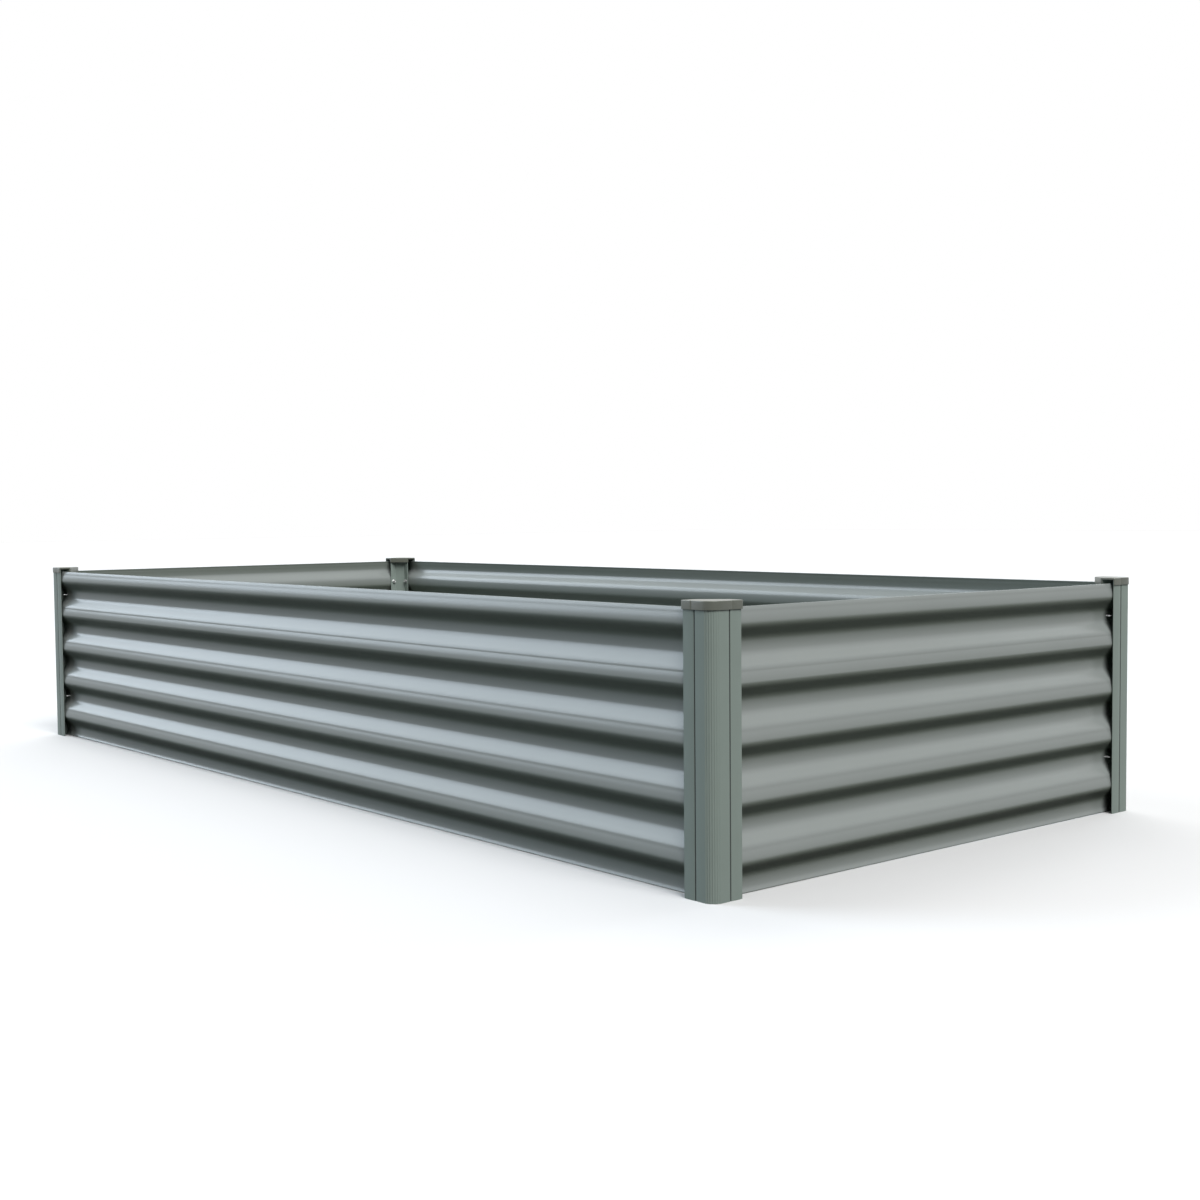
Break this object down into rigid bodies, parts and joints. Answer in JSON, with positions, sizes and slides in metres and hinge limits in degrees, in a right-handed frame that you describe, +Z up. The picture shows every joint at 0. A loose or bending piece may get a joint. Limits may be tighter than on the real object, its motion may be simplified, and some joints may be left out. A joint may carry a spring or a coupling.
{
  "type": "raised garden bed",
  "caption": "Low rectangular raised garden bed with corrugated steel walls slid into fluted corner posts, capped and screwed from inside, open at top and bottom.",
  "frame": {"origin": "on the ground at the middle of the bed's outline", "axes": "+X along the long walls towards the right-hand end, +Y across the bed from the front wall to the back wall, +Z up"},
  "size_m": [2.148, 0.948, 0.38],
  "materials": {
    "sheet_paint": "factory-painted steel sheet, warm mid grey, satin",
    "post_paint": "powder-coated aluminium extrusion, greener grey, satin",
    "cap_plastic": "moulded plastic, grey-green, fine grain",
    "screw_zinc": "zinc-plated steel"
  },
  "bodies": {
    "root": {"wall_sheet_front": "sheet_paint", "wall_sheet_right": "sheet_paint", "wall_sheet_back": "sheet_paint", "wall_sheet_left": "sheet_paint", "corner_post_front_left": "post_paint", "corner_post_front_right": "post_paint", "corner_post_back_right": "post_paint", "corner_post_back_left": "post_paint", "post_cap_front_left": "cap_plastic", "post_cap_front_right": "cap_plastic", "post_cap_back_right": "cap_plastic", "post_cap_back_left": "cap_plastic", "screw_front_left_front_upper": "screw_zinc", "screw_front_left_front_lower": "screw_zinc", "screw_front_left_left_upper": "screw_zinc", "screw_front_left_left_lower": "screw_zinc", "screw_front_right_right_upper": "screw_zinc", "screw_front_right_right_lower": "screw_zinc", "screw_front_right_front_upper": "screw_zinc", "screw_front_right_front_lower": "screw_zinc", "screw_back_right_back_upper": "screw_zinc", "screw_back_right_back_lower": "screw_zinc", "screw_back_right_right_upper": "screw_zinc", "screw_back_right_right_lower": "screw_zinc", "screw_back_left_left_upper": "screw_zinc", "screw_back_left_left_lower": "screw_zinc", "screw_back_left_back_upper": "screw_zinc", "screw_back_left_back_lower": "screw_zinc"}
  },
  "joints": []
}
